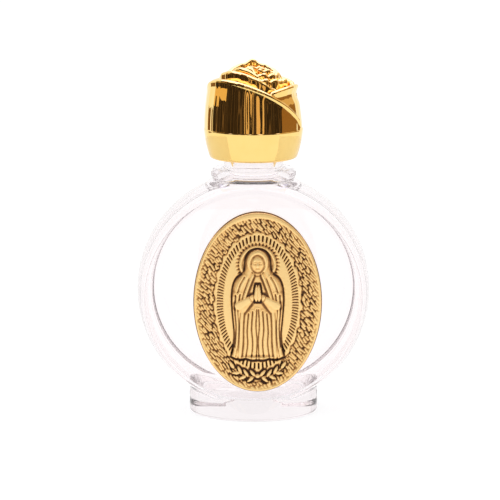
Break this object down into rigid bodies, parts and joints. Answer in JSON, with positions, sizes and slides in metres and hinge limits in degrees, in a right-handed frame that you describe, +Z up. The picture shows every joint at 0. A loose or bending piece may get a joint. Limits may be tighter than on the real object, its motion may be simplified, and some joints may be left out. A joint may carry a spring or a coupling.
{
  "type": "holy water bottle",
  "caption": "Flat round clear glass bottle on an oval foot with a gold rose-shaped screw cap and an oval relief medallion on its front, for carrying and sprinkling holy water.",
  "frame": {"origin": "middle of the foot's flat underside, on the table", "axes": "+Z up along the neck; the front face with the medallion faces -Y; +X is to the right seen from the front"},
  "size_m": [0.0448, 0.0215, 0.0681],
  "materials": {
    "clear_glass": "clear, polished",
    "soft_plastic": "natural, slightly cloudy",
    "glue_pad": "soft, matte",
    "antique_gold": "antique gold with dark recesses",
    "white_plastic": "satin",
    "seal_foam": "matte foam",
    "plated_gold": "mirror gold plating"
  },
  "bodies": {
    "bottle": {"glass_bottle": "clear_glass", "dripper_insert": "soft_plastic", "adhesive_pad": "glue_pad", "medallion": "antique_gold"},
    "seal": {"cap_seal": "seal_foam"},
    "cap": {"inner_cap": "white_plastic", "rose_cap": "plated_gold"}
  },
  "joints": [
    {"name": "cap_lift", "type": "slide", "parent": "bottle", "child": "seal", "axis": [0, 0, 1], "range_m": [0, 0.0105]},
    {"name": "cap_turn", "type": "hinge", "parent": "seal", "child": "cap", "pos_m": [0, 0, 0.0497], "axis": [0, 0, 1], "range_deg": [0, 1800]}
  ],
  "couplings": [
    {"joint": "cap_lift", "follows": "cap_turn", "m_per_rad": 0.00033423}
  ]
}
